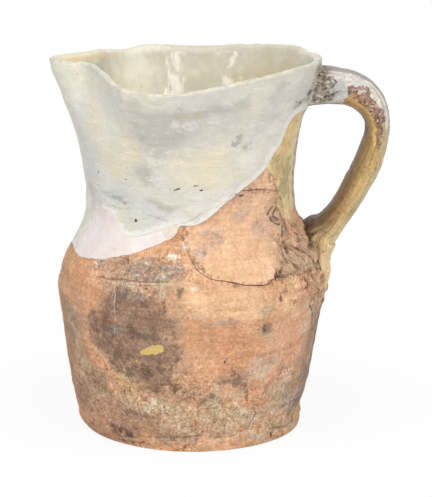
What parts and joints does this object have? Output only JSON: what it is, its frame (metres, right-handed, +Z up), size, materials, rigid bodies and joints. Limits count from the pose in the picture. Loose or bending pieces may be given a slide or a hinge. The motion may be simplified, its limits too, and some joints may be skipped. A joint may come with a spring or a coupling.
{
  "type": "jug",
  "caption": "Handmade earthenware jug with a pinched pouring spout and a strap handle, put together again from sherds with plaster fills.",
  "frame": {"origin": "centre of the flat resting face under the foot", "axes": "+Z up, +X towards the handle, -X towards the pouring spout, -Y towards the viewer of the picture"},
  "size_m": [0.2164, 0.173, 0.2437],
  "materials": {
    "terracotta": "matt fired clay, stained and pitted",
    "pale_terracotta": "matt fired clay, pale",
    "olive_glaze": "worn olive and ochre glaze",
    "grey_plaster": "painted and varnished plaster, satin",
    "pink_plaster": "bare smooth plaster, matt",
    "cream_plaster": "bare plaster, matt",
    "white_plaster": "dirty plaster, matt"
  },
  "bodies": {
    "root": {"lower_body": "terracotta", "shoulder_sherd": "pale_terracotta", "small_neck_sherd": "pale_terracotta", "handle_wall_sherd": "olive_glaze", "handle_strap": "olive_glaze", "handle_top_restoration": "white_plaster", "neck_restoration_front": "grey_plaster", "neck_restoration_back": "grey_plaster", "pink_plaster_fill": "pink_plaster", "cream_plaster_fill": "cream_plaster"}
  },
  "joints": []
}
